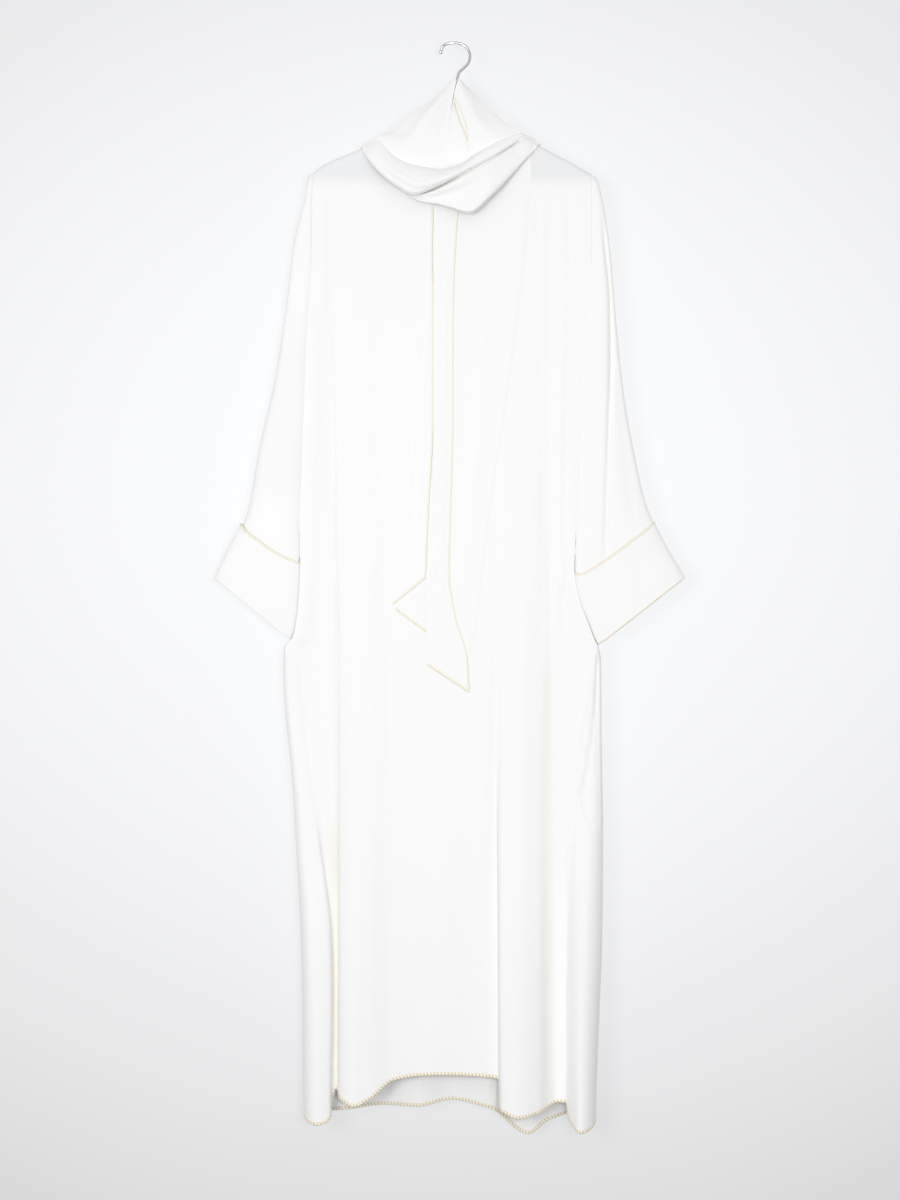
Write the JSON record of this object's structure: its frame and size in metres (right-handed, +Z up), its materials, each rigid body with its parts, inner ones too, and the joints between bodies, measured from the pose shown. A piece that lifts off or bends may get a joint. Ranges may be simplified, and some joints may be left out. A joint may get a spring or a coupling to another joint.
{
  "type": "abaya on a hanger",
  "caption": "Long pull-over abaya with turned-up cuffs and an attached wound scarf, hanging from a hanger's wire hook.",
  "frame": {"origin": "inside top of the hanger's hook, where it rests on a rail", "axes": "+Z up, +X to the right of someone who looks at the abaya's front, front faces -Y"},
  "size_m": [0.6832, 0.0838, 1.6005],
  "materials": {
    "crepe": "matt",
    "hook_chrome": "polished",
    "hanger_white": "satin"
  },
  "bodies": {
    "root": {"body_back": "crepe", "body_front": "crepe", "cuff_left": "crepe", "cuff_right": "crepe", "scarf_band_back": "crepe", "scarf_band_end": "crepe", "scarf_band_lower": "crepe", "scarf_band_upper": "crepe", "scarf_end_left": "crepe", "scarf_end_right_over": "crepe", "scarf_end_right_under": "crepe", "scarf_rise_back": "crepe", "scarf_rise_left": "crepe", "scarf_rise_right": "crepe", "scarf_rise_under": "crepe", "sleeve_left": "crepe", "sleeve_right": "crepe", "hanger_bar": "hanger_white", "hanger_hook": "hook_chrome"}
  },
  "joints": []
}
